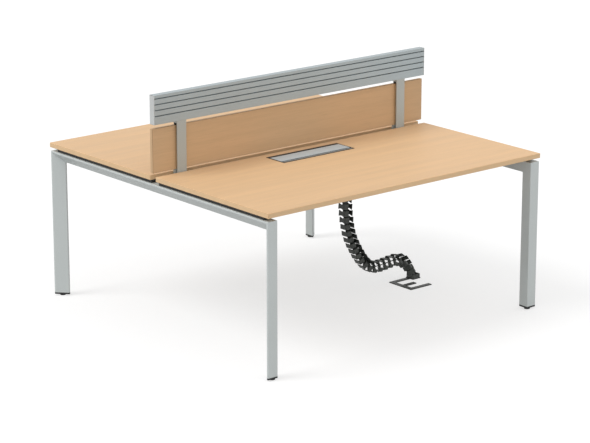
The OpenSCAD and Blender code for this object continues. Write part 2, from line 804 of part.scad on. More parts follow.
// Frame of a cable box: flange, skirt, hinge ledge, lid shelves and front shelf
module box_bezel() {
    color(black) difference() {
        union() {
            block([-flange_x, -box_out, desk_h - flange_seat], [flange_x, -box_in, lid_top]);
            block([-skirt_x, -skirt_out, desk_h - box_h], [skirt_x, -skirt_in, desk_h + flange_t / 2]);
        }
        block([-open_x, -skirt_out + box_wall, shelf_z],
            [open_x, -pin_at + barrel_d / 2 + hinge_room, lid_top + over]);
        block([-open_x + shelf_w, -lid_free - slot_w, desk_h - box_h - over],
            [open_x - shelf_w, -pin_at + barrel_d / 2 + hinge_room, lid_top + over]);
        block([-skirt_x + box_wall, -skirt_out + box_wall, desk_h - box_h - over],
            [skirt_x - box_wall, -skirt_in - box_wall, shelf_z - shelf_h]);
        for (s = [-1, 1]) translate([s * open_x, -pin_at, pin_z]) rotate([0, 90, 0])
            cylinder(h = 2 * (skirt_x - open_x) + 2 * over, d = pin_d + 2 * run_clear, center = true);
        for (s = [-1, 1]) block(
            [s < 0 ? -open_x : lid_l / 2 - pin_l, -pin_at - barrel_d / 2 - clear,
                pin_z - barrel_d / 2 - clear],
            [s < 0 ? -lid_l / 2 + pin_l : open_x, -pin_at + barrel_d / 2 + hinge_room, lid_top]);
        for (x = [-box_screw_x, box_screw_x], y = [-skirt_out, -skirt_in]) box_screw_hole(x, y);
    }
}

// Lid: a plate with a hinge barrel along its back edge
module box_lid() {
    color(light_silver) difference() {
        along_x(-lid_l / 2, lid_l / 2) {
            difference() {
                translate([-lid_free, lid_top - lid_t]) square([lid_w, lid_t]);
                translate([-lid_free, lid_top - lid_t]) circle(lid_t / 4);
                translate([-lid_free, lid_top]) circle(lid_t / 8);
            }
            translate([-pin_at, pin_z]) circle(d = barrel_d);
        }
        for (s = [-1, 1]) translate([s * lid_l / 2, -pin_at, pin_z]) rotate([0, 90, 0])
            cylinder(h = 2 * pin_l + 2 * clear, d = pin_d + 2 * run_clear, center = true);
    }
}

module box_hinge_pins() {
    color(steel) for (s = [-1, 1]) translate([s < 0 ? -skirt_x : lid_l / 2 - pin_l, -pin_at, pin_z])
        rotate([0, 90, 0])
        cylinder(h = skirt_x - lid_l / 2 + pin_l, d = pin_d);
}

// Bar along the front of the cable slot
module box_front_bar() {
    color(light_silver) block([-lid_l / 2, -lid_free - slot_w - bar_w + clear, shelf_z],
        [lid_l / 2, -lid_free - slot_w, lid_top]);
}

module box_screws() {
    d = clip_screw_d - 2 * screw_clear;
    color(steel) for (m = [0, 1]) mirror([0, m, 0]) for (x = [-box_screw_x, box_screw_x]) {
        translate([x, -skirt_out + box_wall, desk_h - top_t * 0.7]) rotate([-90, 0, 0])
            pan_screw(d, 2 * d, 3 * box_wall);
        translate([x, -skirt_in - box_wall, desk_h - top_t * 0.7]) rotate([90, 0, 0])
            pan_screw(d, 2 * d, 3 * box_wall);
    }
}

// Socket at a joint: a cup, open upwards, round the ball of the piece above
module socket() {
    difference() {
        translate([0, 0, -socket_down]) cylinder(h = socket_down + socket_lip, d = socket_d);
        sphere(d = ball_d + 2 * clear);
    }
}

// A neck drawn down from z = 0 to a ball at depth h
module ball_neck(h) {
    translate([0, 0, -h]) {
        cylinder(h = h, d = neck_d);
        sphere(d = ball_d);
    }
}

// Half of a link: a side plate with a lip along the next side and half of the diagonal web
module link_half(h, mid, lip) {
    x = link_w / 2;
    y = link_d / 2;
    t = link_wall;
    c = link_chamfer;
    k = c + t * tan(22.5);
    difference() {
        union() {
            translate([0, 0, -h / 2]) linear_extrude(h) polygon([
                [x - t, -y], [x - t / 2, -y], [x, -y + t / 2], [x, y - c], [x - c, y],
                [x - lip, y], [x - lip, y - t], [x - k, y - t], [x - t, y - k]
            ]);
            rotate(atan2(y - c / 2, x - c / 2)) translate([0, -rib_t / 2, -h / 2 + rib_step])
                cube([norm([x - c / 2, y - c / 2]) - t / 2, rib_t, h - 2 * rib_step]);
        }
        if (mid < h) for (s = [-1, 1]) along_x(x - t - over, x + over)
            polygon([[-y + c, s * (h / 2 + over)], [y - c, s * (h / 2 + over)], [0, s * mid / 2]]);
    }
}

// One link, an S seen from above: two leaning halves round a socket, with its ball one pitch below
module spine_link(h, mid, lip) {
    difference() {
        rotate([0, link_lean, 0]) for (a = [0, 180]) rotate(a) link_half(h, mid, lip);
        cylinder(h = 2 * h, d = web_bore, center = true);
    }
    socket();
    translate([0, 0, -socket_down + over]) ball_neck(link_pitch - socket_down + over);
}

module spine_links(first, count, h, mid, lip) {
    color(black) for (i = [first : first + count - 1])
        translate([spine_x + along(i), -spine_y, spine_top_z - down(i)])
            rotate([0, -link_headings[i], 0]) rotate(twist(i)) spine_link(h, mid, lip);
}

module spine_links_upper() {
    spine_links(0, upper_links, upper_h, upper_mid_h, link_lip);
}

module spine_links_bend() {
    spine_links(upper_links, bend_links, link_h, link_h, link_lip);
}

module spine_links_arch() {
    first = upper_links + bend_links;
    spine_links(first, len(link_headings) - first, link_h, link_h, arch_lip);
}

// Clip under the tray: a plate with the cable inlet and a cross bar that holds the first ball
module spine_top_clip() {
    bar = socket_d / 2;
    stem_l = clip_t + clip_drop - socket_lip - foot_wall;
    color(black) translate([spine_x, -spine_y, 0]) {
        difference() {
            block([-clip_w / 2, -clip_w / 2, tray_z - clip_t], [clip_w / 2, clip_w / 2, tray_z]);
            for (s = [-1, 1]) block([-inlet_w / 2, s < 0 ? -inlet_w / 2 : bar, tray_z - clip_t - over],
                                    [inlet_w / 2, s < 0 ? -bar : inlet_w / 2, tray_z + over]);
            for (i = [-1, 1], j = [-1, 1])
                translate([i * clip_screw_at, j * clip_screw_at, tray_z - clip_t - over])
                    cylinder(h = clip_t + 2 * over, d = clip_screw_d + 2 * screw_clear);
        }
        translate([0, 0, tray_z - clip_t / 2 - stem_l]) cylinder(h = stem_l, d = 2 * neck_d);
        translate([0, 0, tray_z - clip_t / 2]) ball_neck(tray_z - clip_t / 2 - spine_top_z);
    }
}

// Foot on the floor plate: a chamfered cup round the last ball's leaning socket
module spine_foot_clip() {
    w = foot_w / 2;
    color(black) translate([spine_end_x, -spine_y, 0]) {
        difference() {
            translate([0, 0, floor_t]) linear_extrude(foot_clip_h) foot_outline(w);
            translate([0, 0, floor_t + foot_clip_t]) linear_extrude(foot_clip_h)
                foot_outline(w - foot_wall);
            for (s = [-1, 1]) translate([s * (w - foot_wall - foot_screw_in), 0, floor_t - over])
                cylinder(h = foot_clip_t + 2 * over, d = clip_screw_d + 2 * screw_clear);
        }
        difference() {
            translate([0, 0, floor_t + foot_clip_t / 2])
                cylinder(h = foot_joint_z - floor_t - foot_clip_t / 2, d = socket_d * 0.7);
            translate([0, 0, foot_joint_z]) sphere(d = socket_d - over);
        }
        translate([0, 0, foot_joint_z]) rotate([0, -foot_lean, 0]) socket();
    }
}

module foot_outline(w) {
    c = link_chamfer;
    polygon([[-w, -w + c], [-w + c, -w], [w - c, -w], [w, -w + c], [w, w - c], [w - c, w],
        [-w + c, w], [-w, w - c]]);
}

module spine_screws() {
    color(steel) {
        for (a = clip_screw_places()) translate([a[0], a[1], tray_z - clip_t]) rotate([180, 0, 0])
            pan_screw(clip_screw_d, 2 * clip_screw_d, clip_t + tray_t + head_h);
        for (s = [-1, 1]) translate([spine_end_x + s * (foot_w / 2 - foot_wall - foot_screw_in),
            -spine_y, floor_t + foot_clip_t])
            pan_screw(clip_screw_d, 2 * clip_screw_d, foot_clip_t + floor_t / 2);
    }
}

// Floor plate: a flat steel E on the floor with a pad under the spine's foot
module floor_plate() {
    b = floor_bar;
    y0 = -floor_far;
    color(black) difference() {
        union() {
            block([floor_x, y0 - floor_l, 0], [floor_x + b, y0, floor_t]);
            block([floor_x, y0 - floor_l, 0], [floor_x + prong_near, y0 - floor_l + b, floor_t]);
            block([floor_x, y0 - prong_mid_at, 0], [floor_x + prong_mid, y0 - prong_mid_at + b, floor_t]);
            block([floor_x, y0 - b, 0], [spine_end_x + foot_w / 2, y0, floor_t]);
            translate([spine_end_x - foot_w / 2, -spine_y - foot_w / 2, 0]) cube([foot_w, foot_w, floor_t]);
        }
        for (s = [-1, 1]) translate([spine_end_x + s * (foot_w / 2 - foot_wall - foot_screw_in),
            -spine_y, floor_t / 2])
            cylinder(h = floor_t, d = clip_screw_d + 2 * screw_clear);
    }
}

top_board();  // near_top_board
far() top_board();  // far_top_board
top_edging();  // near_top_edging
far() top_edging();  // far_top_edging
top_spacers();  // near_top_spacers
far() top_spacers();  // far_top_spacers
top_screws();
left() leg();  // left_near_leg
left() far() leg();  // left_far_leg
leg();  // right_near_leg
far() leg();  // right_far_leg
left() end_beam();  // left_end_beam
end_beam();  // right_end_beam
leg_end_caps();
left() glide();  // left_near_glide
left() far() glide();  // left_far_glide
glide();  // right_near_glide
far() glide();  // right_far_glide
long_beam();  // near_long_beam
far() long_beam();  // far_long_beam
long_beam_bolts();
left() cross_member();  // left_cross_member
cross_member();  // right_cross_member
cross_member_bolts();
cable_tray();
tray_screws();
left() upright();  // left_upright
upright();  // right_upright
left() upright_foot();  // left_upright_foot
upright_foot();  // right_upright_foot
upright_screws();
screen_panel();
screen_panel_edging();
panel_screws();
left() panel_buffer();  // left_panel_buffer
panel_buffer();  // right_panel_buffer
left() rail_bracket();  // left_rail_bracket
rail_bracket();  // right_rail_bracket
bracket_screws();
near_rail();  // near_tool_rail
far_rail();  // far_tool_rail
left() rail_end_cap();  // left_rail_end_cap
rail_end_cap();  // right_rail_end_cap
box_bezel();  // near_box_bezel
box_lid();  // near_box_lid
box_hinge_pins();  // near_box_hinge_pins
box_front_bar();  // near_box_front_bar
far() box_bezel();  // far_box_bezel
far() box_lid();  // far_box_lid
far() box_hinge_pins();  // far_box_hinge_pins
far() box_front_bar();  // far_box_front_bar
box_screws();
spine_top_clip();
spine_links_upper();
spine_links_bend();
spine_links_arch();
spine_foot_clip();
spine_screws();
floor_plate();
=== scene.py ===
import bpy
import bmesh
import json
import math
from mathutils import Matrix, Vector


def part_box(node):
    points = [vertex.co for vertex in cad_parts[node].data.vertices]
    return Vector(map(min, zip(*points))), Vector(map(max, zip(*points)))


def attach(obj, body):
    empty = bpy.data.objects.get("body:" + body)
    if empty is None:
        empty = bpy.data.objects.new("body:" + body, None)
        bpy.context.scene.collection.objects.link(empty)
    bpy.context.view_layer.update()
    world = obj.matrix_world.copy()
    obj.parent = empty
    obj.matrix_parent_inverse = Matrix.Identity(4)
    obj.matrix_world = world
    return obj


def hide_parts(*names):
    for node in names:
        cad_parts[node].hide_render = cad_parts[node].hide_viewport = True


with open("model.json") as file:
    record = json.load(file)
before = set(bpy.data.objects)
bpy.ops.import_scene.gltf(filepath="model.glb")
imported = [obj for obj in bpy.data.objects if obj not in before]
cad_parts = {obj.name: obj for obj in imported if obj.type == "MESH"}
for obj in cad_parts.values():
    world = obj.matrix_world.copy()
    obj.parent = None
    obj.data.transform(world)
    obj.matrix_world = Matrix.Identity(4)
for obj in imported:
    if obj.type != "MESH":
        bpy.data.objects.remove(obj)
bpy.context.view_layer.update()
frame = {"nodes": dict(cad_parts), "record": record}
nodes = frame["nodes"]
scene = bpy.context.scene
scene.view_settings.view_transform = "Standard"
print("frame loaded,", len(nodes), "nodes")


# The camera stands where the photograph was taken from, in metres and degrees
cameraSet = {
    "place": (-6.9111, -8.2938, 3.4523), "turn": 39.855, "down": 15.846,
    "lens": 147.82, "sensor": 36, "nearest": 0.1, "farthest": 200,
}


def placeCamera(given):
    data = bpy.data.cameras.new("camera")
    data.sensor_width = given["sensor"]
    data.lens = given["lens"]
    data.clip_start, data.clip_end = given["nearest"], given["farthest"]
    eye = bpy.data.objects.new("camera", data)
    eye.location = given["place"]
    eye.rotation_euler = (math.radians(90 - given["down"]), 0, math.radians(-given["turn"]))
    scene.collection.objects.link(eye)
    scene.camera = eye


placeCamera(cameraSet)


class Wire:
    # one output of a shader node; sums of wires become Math nodes
    def __init__(self, paint, socket):
        self.paint, self.socket = paint, socket

    def sum(self, kind, first, second):
        return self.paint.put("ShaderNodeMath", {"operation": kind}, {"Value": first, "Value_001": second})

    def __add__(self, other):
        return self.sum("ADD", self, other)

    def __sub__(self, other):
        return self.sum("SUBTRACT", self, other)

    def __rsub__(self, other):
        return self.sum("SUBTRACT", other, self)

    def __mul__(self, other):
        return self.sum("MULTIPLY", self, other)

    def __gt__(self, other):
        return self.sum("GREATER_THAN", self, other)

    def __lt__(self, other):
        return self.sum("LESS_THAN", self, other)

    def orMore(self, other):
        return self.sum("MAXIMUM", self, other)

    __radd__ = __add__
    __rmul__ = __mul__


class Paint:
    # the shader tree of a material, or of the world
    def __init__(self, owner, coordinate="Object"):
        self.owner = owner
        owner.use_nodes = True
        self.tree = owner.node_tree
        self.tree.nodes.clear()
        self.places = self.put("ShaderNodeTexCoord", out=coordinate)

    def put(self, kind, settings=None, sockets=None, out=0):
        node = self.tree.nodes.new(kind)
        for name, value in (settings or {}).items():
            setattr(node, name, value)
        for name, value in (sockets or {}).items():
            socket = [s for s in node.inputs if name in (s.identifier, s.name)][0]
            if isinstance(value, Wire):
                self.tree.links.new(value.socket, socket)
            else:
                socket.default_value = value
        if isinstance(out, str):
            out = [s.identifier for s in node.outputs].index(out)
        return Wire(self, node.outputs[out]) if len(node.outputs) else None

    def noise(self, scale, detail, roughness, stretch=None):
        at = self.places
        if stretch is not None:
            at = self.put("ShaderNodeVectorMath", {"operation": "MULTIPLY"},
                          {"Vector": at, "Vector_001": stretch})
        sockets = {"Vector": at, "Scale": scale, "Detail": detail, "Roughness": roughness}
        return self.put("ShaderNodeTexNoise", None, sockets)

    def span(self, value, low, high, toLow=0.0, toHigh=1.0):
        sockets = {"Value": value, "From Min": low, "From Max": high, "To Min": toLow, "To Max": toHigh}
        return self.put("ShaderNodeMapRange", {"interpolation_type": "SMOOTHSTEP"}, sockets)

    def mix(self, share, first, second):
        return self.put("ShaderNodeMix", {"data_type": "RGBA"},
                        {"Factor_Float": share, "A_Color": first, "B_Color": second}, out="Result_Color")

    def surface(self, colour, pattern, given, sockets):
        # the finished material; pattern gives its relief
        bump = {"Strength": given["strength"], "Distance": given["relief"], "Height": pattern}
        normal = self.put("ShaderNodeBump", None, bump)
        sockets = {"Base Color": colour, "Normal": normal, **sockets}
        shader = self.put("ShaderNodeBsdfPrincipled", None, sockets)
        self.put("ShaderNodeOutputMaterial", None, {"Surface": shader})
        return self.owner


def newPaint(name):
    return Paint(bpy.data.materials.new(name))


def tone(*colour):
    # red, green and blue as the eye reads them on a screen, 0 to 255, made linear
    shares = [c / 255 for c in colour]
    return tuple(((s + 0.055) / 1.055) ** 2.4 if s > 0.04045 else s / 12.92 for s in shares) + (1.0,)


def scaled(colour, by):
    return tuple(min(1.0, c * by) for c in colour[:3]) + (1.0,)


white = (1, 1, 1, 1)


# Faced board: long soft streaks, short darker pores, satin
# Here and below a noise has its scale, detail and roughness, and its stretch where the finish runs one way
woodSet = {
    # the edge colour is lighter than the top's: painted light, standing in for the light on the edge faces
    "top": tone(224, 186, 143), "edge": tone(238, 202, 158), "panel": tone(213, 178, 138),
    "broad": (1.7, 4, 0.55, (0.8, 13, 13)), "broadShare": 0.6, "fine": (1.3, 3, 0.6, (5, 170, 170)),
    "streakSpan": (0.35, 0.65), "streak": 0.945, "pale": 1.03,
    "pores": (1.0, 2, 0.5, (14, 420, 420)), "poreSpan": (0.60, 0.72), "poreShare": 0.55, "pore": 0.88,
    "poreDepth": 0.6, "relief": 0.0002, "strength": 0.12, "rough": 0.50, "roughSwing": 0.06, "shine": 0.35,
    # the band's dark line is a glue line and also painted shade along the front edge of the panel band
    "glueAndShadeLine": tone(150, 112, 76), "glueAndShadeShare": 0.8, "glueAndShadeBefore": 0.001, "glueAndShadeBehind": 0.0012,
}


def woodPaint(name, colour, bandFace=None, given=woodSet):
    # a band shows a dark line along its front face, whose place on Y is bandFace: a glue line, and painted
    # shade along the band's front edge
    p = newPaint(name)
    broad, fine = p.noise(*given["broad"]), p.noise(*given["fine"])
    pores = p.span(p.noise(*given["pores"]), *given["poreSpan"])
    streaks = broad * given["broadShare"] + fine * (1 - given["broadShare"])
    streaks = p.span(streaks, *given["streakSpan"])
    body = p.mix(streaks, scaled(colour, given["streak"]), scaled(colour, given["pale"]))
    body = p.mix(pores * given["poreShare"], body, scaled(colour, given["pore"]))
    if bandFace is not None:
        at = p.put("ShaderNodeSeparateXYZ", None, {"Vector": p.places}, out="Y")
        line = (at > bandFace - given["glueAndShadeBefore"]) * (at < bandFace + given["glueAndShadeBehind"])
        body = p.mix(line * given["glueAndShadeShare"], body, given["glueAndShadeLine"])
    return p.surface(body, fine - pores * given["poreDepth"], given,
                     {"Roughness": streaks * given["roughSwing"] + given["rough"],
                      "Specular IOR Level": given["shine"]})


# Powder coat: fine orange peel, and metallic flake that shows as a soft mottle
coatSet = {
    "frame": tone(206, 212, 211), "screen": tone(182, 187, 184), "cap": tone(206, 209, 208),
    "dark": tone(70, 72, 70), "flake": 0.2, "darkFlake": 0.1,
    "peel": (900, 2, 0.6), "mottle": (2600, 1, 0.5), "mottleShare": 0.7, "wide": (3, 2, 0.5),
    "span": (0.38, 0.62), "deep": 0.94, "pale": 1.05, "relief": 0.0001, "strength": 0.25,
    "rough": 0.42, "roughSwing": 0.10, "shine": 0.45,
}


def coatPaint(name, colour, flake, given=coatSet):
    p = newPaint(name)
    peel, mottle, wide = p.noise(*given["peel"]), p.noise(*given["mottle"]), p.noise(*given["wide"])
    share = p.span(mottle * given["mottleShare"] + wide * (1 - given["mottleShare"]), *given["span"])
    body = p.mix(share, scaled(colour, given["deep"]), scaled(colour, given["pale"]))
    return p.surface(body, peel, given,
                     {"Roughness": mottle * given["roughSwing"] + given["rough"], "Metallic": flake,
                      "Specular IOR Level": given["shine"]})


# Anodised aluminium: lines drawn along the extrusion
drawnSet = {
    "rail": tone(174, 184, 187), "lid": tone(194, 202, 205), "bar": tone(150, 153, 152),
    "bright": {"flake": 0.5, "rough": 0.40}, "matt": {"flake": 0.15, "rough": 0.52},
    "lines": (1.0, 3, 0.7, (4, 900, 900)), "lineShare": 0.8, "cloud": (6, 2, 0.5), "span": (0.3, 0.7),
    "deep": 0.93, "pale": 1.05, "relief": 0.00005, "strength": 0.3, "roughSwing": 0.08,
}


def drawnPaint(name, colour, finish, given=drawnSet):
    p = newPaint(name)
    lines, cloud = p.noise(*given["lines"]), p.noise(*given["cloud"])
    share = p.span(lines * given["lineShare"] + cloud * (1 - given["lineShare"]), *given["span"])
    body = p.mix(share, scaled(colour, given["deep"]), scaled(colour, given["pale"]))
    return p.surface(body, lines, given,
                     {"Roughness": lines * given["roughSwing"] + finish["rough"],
                      "Metallic": finish["flake"]})


# Moulded plastic: spark-eroded grain, and slow clouds of wear
plasticSet = {
    "black": tone(30, 31, 31), "blackRough": 0.5, "spine": tone(58, 62, 58), "spineRough": 0.42,
    "grain": (1400, 3, 0.6), "wear": (40, 3, 0.6), "span": (0.35, 0.7), "deep": 0.85, "pale": 1.25,
    "relief": 0.00008, "strength": 0.35, "roughSwing": 0.12,
}


def plasticPaint(name, colour, rough, given=plasticSet):
    p = newPaint(name)
    grain = p.noise(*given["grain"])
    share = p.span(p.noise(*given["wear"]), *given["span"])
    body = p.mix(share, scaled(colour, given["deep"]), scaled(colour, given["pale"]))
    return p.surface(body, grain, given, {"Roughness": grain * given["roughSwing"] + rough})


# Plated steel of the fasteners, faintly spotted
steelSet = {
    "plating": tone(185, 186, 188), "spots": (500, 3, 0.6), "deep": 0.85, "pale": 1.08,
    "relief": 0.00003, "strength": 0.2, "rough": 0.28, "roughSwing": 0.15,
}


def steelPaint(name, colour, given=steelSet):
    p = newPaint(name)
    spots = p.noise(*given["spots"])
    body = p.mix(spots, scaled(colour, given["deep"]), scaled(colour, given["pale"]))
    return p.surface(body, spots, given,
                     {"Roughness": spots * given["roughSwing"] + given["rough"], "Metallic": 1.0})


paints = {
    "woodTop": woodPaint("wood_top", woodSet["top"]),
    "woodEdgeWithPaintedLight": woodPaint("wood_edge", woodSet["edge"]),
    "woodPanel": woodPaint("wood_panel", woodSet["panel"]),
    "panelBand": woodPaint("wood_panel_band", woodSet["panel"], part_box("screen_panel_edging")[0].y),
    "frameCoat": coatPaint("frame_coat", coatSet["frame"], coatSet["flake"]),
    "screenCoat": coatPaint("screen_coat", coatSet["screen"], coatSet["flake"]),
    "darkCoat": coatPaint("dark_coat", coatSet["dark"], coatSet["darkFlake"]),
    "railCap": coatPaint("rail_cap_coat", coatSet["cap"], coatSet["flake"]),
    "rail": drawnPaint("rail_aluminium", drawnSet["rail"], drawnSet["bright"]),
    "lid": drawnPaint("lid_aluminium", drawnSet["lid"], drawnSet["matt"]),
    "bar": drawnPaint("bar_aluminium", drawnSet["bar"], drawnSet["matt"]),
    "black": plasticPaint("black_plastic", plasticSet["black"], plasticSet["blackRough"]),
    "spine": plasticPaint("spine_plastic", plasticSet["spine"], plasticSet["spineRough"]),
    "steel": steelPaint("fastener_steel", steelSet["plating"]),
}
print("materials made:", len(paints))

# The paint of each material slot in the record, and of the nodes that have one of their own
paintOfSlot = {
    "wood_top": "woodTop", "wood_edge": "woodEdgeWithPaintedLight", "wood_panel": "woodPanel",
    "frame_paint": "frameCoat", "grey_paint": "screenCoat", "floor_steel": "darkCoat",
    "rail_aluminium": "rail", "light_aluminium": "lid",
    "black_plastic": "black", "spine_plastic": "spine", "fastener_steel": "steel",
}
paintOfNode = {
    "left_rail_end_cap": "railCap", "right_rail_end_cap": "railCap", "screen_panel_edging": "panelBand",
    "near_box_front_bar": "bar", "far_box_front_bar": "bar",
}
for row in frame["record"]["subparts"]:
    paintName = paintOfNode.get(row["node"], paintOfSlot[row["material_slot"]])
    for place in nodes[row["node"]].material_slots:
        place.material = paints[paintName]
print("materials given to the nodes")


# Bodies of the nodes, for the pieces that stand for them
membersOf = frame["record"]["behaviour"]["bodies"]
bodyOf = {node: body for body, members in membersOf.items() for node in members}

# Metres within which two corners are one, and two places lie level
sameCorner, sameLevel = 1e-6, 1e-5


def mergedShape(node):
    # a copy of a node's triangles with its doubled points merged
    shape = bmesh.new()
    shape.from_mesh(nodes[node].data)
    bmesh.ops.remove_doubles(shape, verts=shape.verts, dist=sameCorner)
    return shape


def finishedMesh(shape, name):
    mesh = bpy.data.meshes.new(name)
    shape.to_mesh(mesh)
    shape.free()
    return mesh


def standFor(name, mesh, node, paint):
    piece = bpy.data.objects.new(name, mesh)
    scene.collection.objects.link(piece)
    mesh.materials.clear()
    mesh.materials.append(paint)
    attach(piece, bodyOf[node])
    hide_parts(node)


# Edges that a hand would feel as rounded, and their radii in metres
# A band is rounded only where it reaches the ends of its box, along the axes that the letters name
easeSet = {
    "radii": {
        "near_top_edging": 0.0012, "far_top_edging": 0.0012, "screen_panel_edging": 0.0008,
        "near_box_lid": 0.0010, "far_box_lid": 0.0010,
        "near_box_front_bar": 0.0008, "far_box_front_bar": 0.0008,
        "left_rail_end_cap": 0.0008, "right_rail_end_cap": 0.0008, "leg_end_caps": 0.0010,
        "left_panel_buffer": 0.0012, "right_panel_buffer": 0.0012, "floor_plate": 0.0008,
        "left_upright_foot": 0.0008, "right_upright_foot": 0.0008, "spine_foot_clip": 0.0008,
    },
    "bands": {"near_top_edging": "XY", "far_top_edging": "XY", "screen_panel_edging": "XZ"},
    "flat": 0.01, "skew": 3.1,  # radians by which joined triangles may bend, and be out of square
    "sharp": 0.7, "shortest": 4, "steps": 2,  # least angle in radians, least length in radii, faces across
}


def onRim(vert, low, high, axes):
    reach = [min(abs(vert.co[k] - low[k]), abs(vert.co[k] - high[k])) for k in map("XYZ".index, axes)]
    return min(reach) < sameLevel


def easeNode(node, radius, given):
    shape = mergedShape(node)
    bmesh.ops.join_triangles(shape, faces=shape.faces, angle_face_threshold=given["flat"],
                             angle_shape_threshold=given["skew"])
    sharp = [e for e in shape.edges if e.is_manifold and e.calc_face_angle(0) > given["sharp"]]
    sharp = [e for e in sharp if e.calc_length() > given["shortest"] * radius]
    if node in given["bands"]:
        low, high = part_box(node)
        sharp = [e for e in sharp if all(onRim(v, low, high, given["bands"][node]) for v in e.verts)]
    bmesh.ops.bevel(shape, geom=sharp, offset=radius, segments=given["steps"], affect="EDGES",
                    clamp_overlap=False)
    mesh = finishedMesh(shape, "eased_" + node)
    mesh.shade_flat()
    standFor("eased_" + node, mesh, node, nodes[node].material_slots[0].material)


for easedNode, easedRadius in easeSet["radii"].items():
    easeNode(easedNode, easedRadius, easeSet)
print("edges eased:", len(easeSet["radii"]))


class Tree:
    # a geometry tree with named inputs, built one node at a time
    def __init__(self, name, inputs):
        self.group = bpy.data.node_groups.new(name, "GeometryNodeTree")
        inputs = {"Geometry": "Geometry", "Model": "Object", **inputs, "Paint": "Material"}
        for label, kind in inputs.items():
            self.group.interface.new_socket(label, in_out="INPUT", socket_type="NodeSocket" + kind)
        self.group.interface.new_socket("Geometry", in_out="OUTPUT", socket_type="NodeSocketGeometry")
        self.given = self.group.nodes.new("NodeGroupInput").outputs
        self.result = self.group.nodes.new("NodeGroupOutput").inputs

    def put(self, kind, settings=None, sockets=None, out=0):
        node = self.group.nodes.new(kind)
        for name, value in (settings or {}).items():
            setattr(node, name, value)
        for name, value in (sockets or {}).items():
            socket = [s for s in node.inputs if name in (s.identifier, s.name) and s.enabled][0]
            if isinstance(value, bpy.types.NodeSocket):
                self.group.links.new(value, socket)
            else:
                socket.default_value = value
        if isinstance(out, str):
            return [s for s in node.outputs if s.name == out and s.enabled][0]
        return node.outputs[out]

    def sum(self, kind, *values):
        return self.put("ShaderNodeMath", {"operation": kind}, dict(zip(("Value", "Value_001"), values)))

    def fact(self, name, kind="FLOAT"):
        # what each point brings along under this name
        return self.put("GeometryNodeInputNamedAttribute", {"data_type": kind}, {"Name": name},
                        out="Attribute")

    def spun(self, axis, angle):
        return self.put("FunctionNodeAxisAngleToRotation", None, {"Axis": axis, "Angle": angle})

    def close(self, points, turn):
        # the model stands on each point, is made real and painted
        model = self.put("GeometryNodeObjectInfo", None, {"Object": self.given["Model"]}, out="Geometry")
        stood = self.put("GeometryNodeInstanceOnPoints", None,
                         {"Points": points, "Instance": model, "Rotation": turn})
        real = self.put("GeometryNodeRealizeInstances", None, {"Geometry": stood})
        painted = self.put("GeometryNodeSetMaterial", None,
                           {"Geometry": real, "Material": self.given["Paint"]})
        self.group.links.new(painted, self.result[0])

    def grow(self, points, model, paint, values):
        # the finished plain mesh of this model on these points
        body = bpy.data.objects.new(model.name, model)
        values = {"Model": body, "Paint": paint, **values}
        seed = bpy.data.objects.new("seed", points)
        scene.collection.objects.link(seed)
        growth = seed.modifiers.new("growth", "NODES")
        growth.node_group = self.group
        for item in self.group.interface.items_tree:
            if item.in_out == "INPUT" and item.name in values:
                growth[item.identifier] = values[item.name]
        done = bpy.data.meshes.new_from_object(seed.evaluated_get(bpy.context.evaluated_depsgraph_get()))
        seed.modifiers.clear()
        bpy.data.objects.remove(seed)
        bpy.data.objects.remove(body)
        return done


def pointMesh(name, places, facts):
    # loose points that each bring along numbers or directions
    mesh = bpy.data.meshes.new(name)
    mesh.from_pydata([tuple(place) for place in places], [], [])
    for fact, values in facts.items():
        if isinstance(values[0], Vector):
            row = mesh.attributes.new(fact, "FLOAT_VECTOR", "POINT").data
            row.foreach_set("vector", [number for value in values for number in value])
        else:
            mesh.attributes.new(fact, "FLOAT", "POINT").data.foreach_set("value", values)
    return mesh


def prism(shape, outline, low, high):
    # a closed prism on an outline that runs anticlockwise
    floor = [shape.verts.new((x, y, low)) for x, y in outline]
    roof = [shape.verts.new((x, y, high)) for x, y in outline]
    shape.faces.new(floor[::-1])
    shape.faces.new(roof)
    for i in range(len(outline)):
        j = (i + 1) % len(outline)
        shape.faces.new((floor[i], floor[j], roof[j], roof[i]))
    return floor + roof


def turned(shape, verts, angle, axis):
    matrix = Matrix.Rotation(math.radians(angle), 3, axis)
    bmesh.ops.rotate(shape, cent=(0, 0, 0), matrix=matrix, verts=verts)


def ringAt(shape, radius, height, steps, sides=0):
    # a round ring, or one of straight sides whose flats lie at the radius
    points = []
    for k in range(steps):
        angle = 2 * math.pi * k / steps
        reach = radius
        if sides:
            part = 2 * math.pi / sides
            reach = radius / math.cos((angle % part) - part / 2)
        points.append(shape.verts.new((reach * math.cos(angle), reach * math.sin(angle), height)))
    return points


def lathe(shape, profile, steps=24):
    # a closed solid turned from (radius, height) or (flat, height, sides) points, from pole to pole
    rings = []
    for radius, height, *sides in profile:
        if radius < sameCorner:
            rings.append([shape.verts.new((0, 0, height))])
        else:
            rings.append(ringAt(shape, radius, height, steps, *sides))
    for low, high in zip(rings, rings[1:]):
        for k in range(steps):
            m = (k + 1) % steps
            if len(low) == 1:
                shape.faces.new((low[0], high[m], high[k]))
            elif len(high) == 1:
                shape.faces.new((low[k], low[m], high[0]))
            else:
                shape.faces.new((low[k], low[m], high[m], high[k]))


